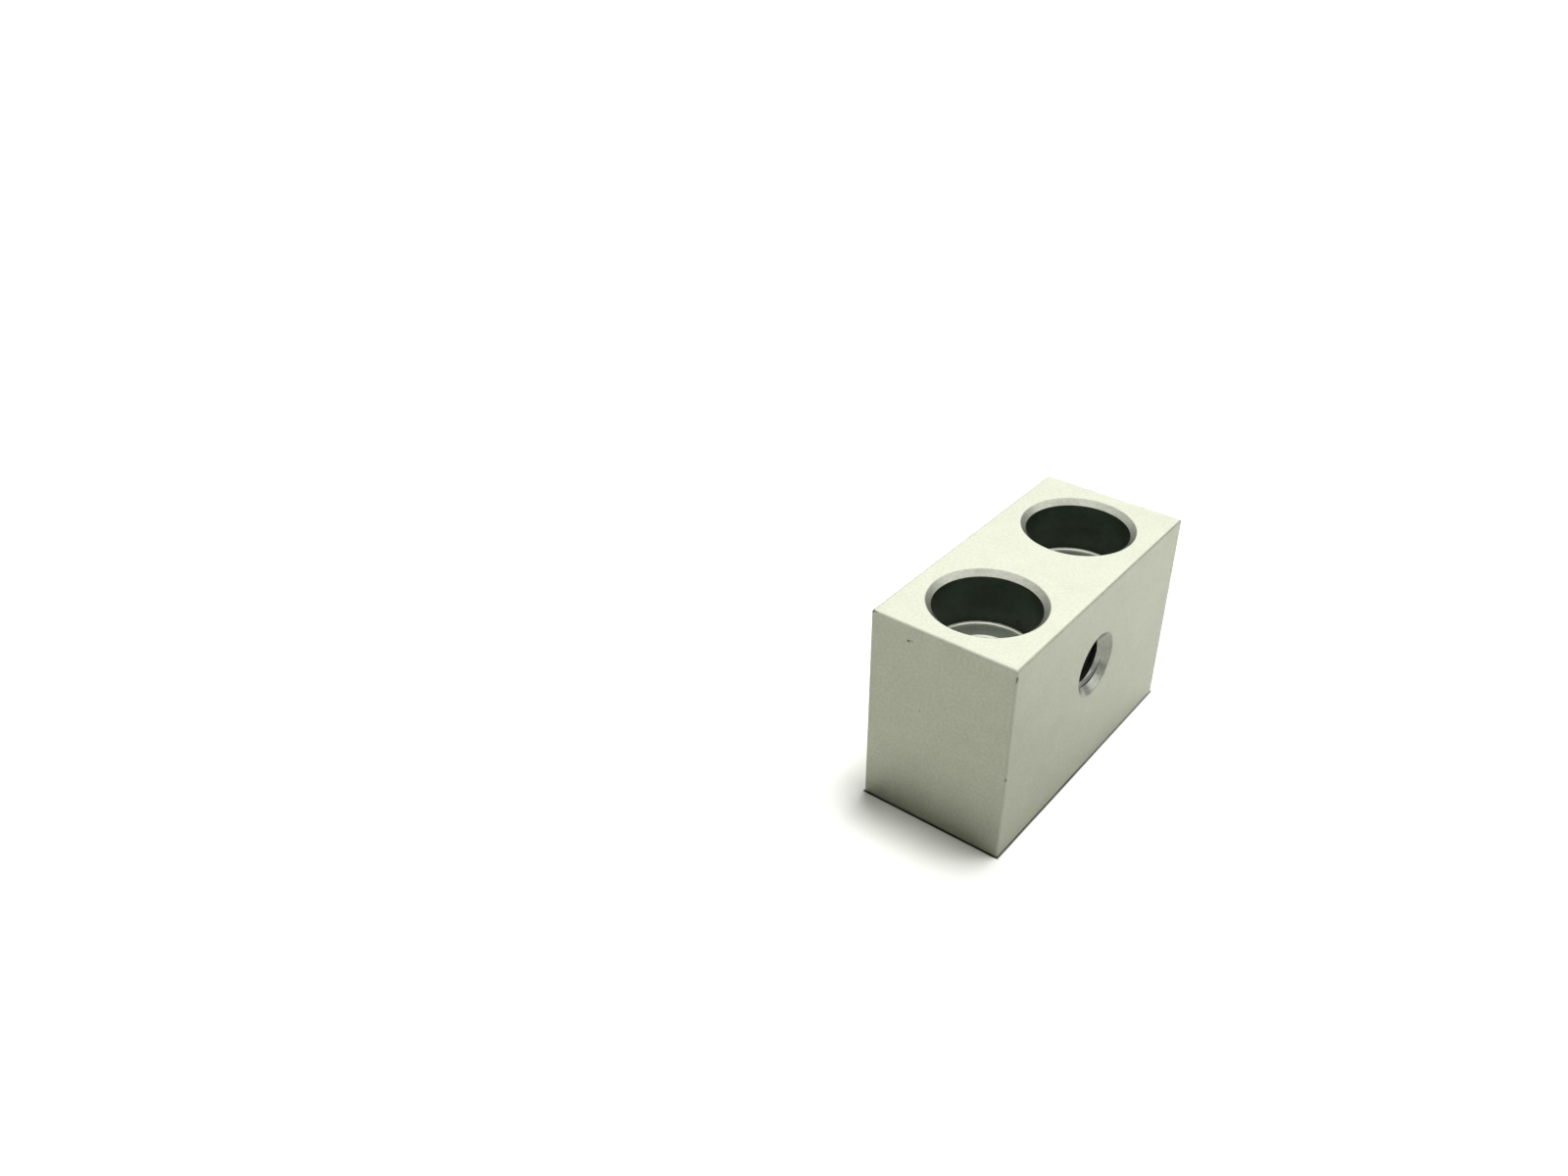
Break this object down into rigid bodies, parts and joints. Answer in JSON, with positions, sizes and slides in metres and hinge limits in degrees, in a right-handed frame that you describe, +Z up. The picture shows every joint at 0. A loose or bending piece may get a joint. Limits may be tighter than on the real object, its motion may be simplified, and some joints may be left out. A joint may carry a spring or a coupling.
{
  "type": "counterbored mounting block",
  "caption": "Small rectangular machined aluminium block with counterbored screw holes down through it and a tapped hole across its width.",
  "frame": {"origin": "centre of the flat underside", "axes": "+Z up, the way the screw heads leave; +Y along the length and the line of screw holes; +X across the width, the way a bolt leaves the tapped hole"},
  "size_m": [0.014, 0.03, 0.02],
  "materials": {
    "aluminium": "satin, fine milled and clear anodised"
  },
  "bodies": {
    "root": {"block": "aluminium"}
  },
  "joints": []
}
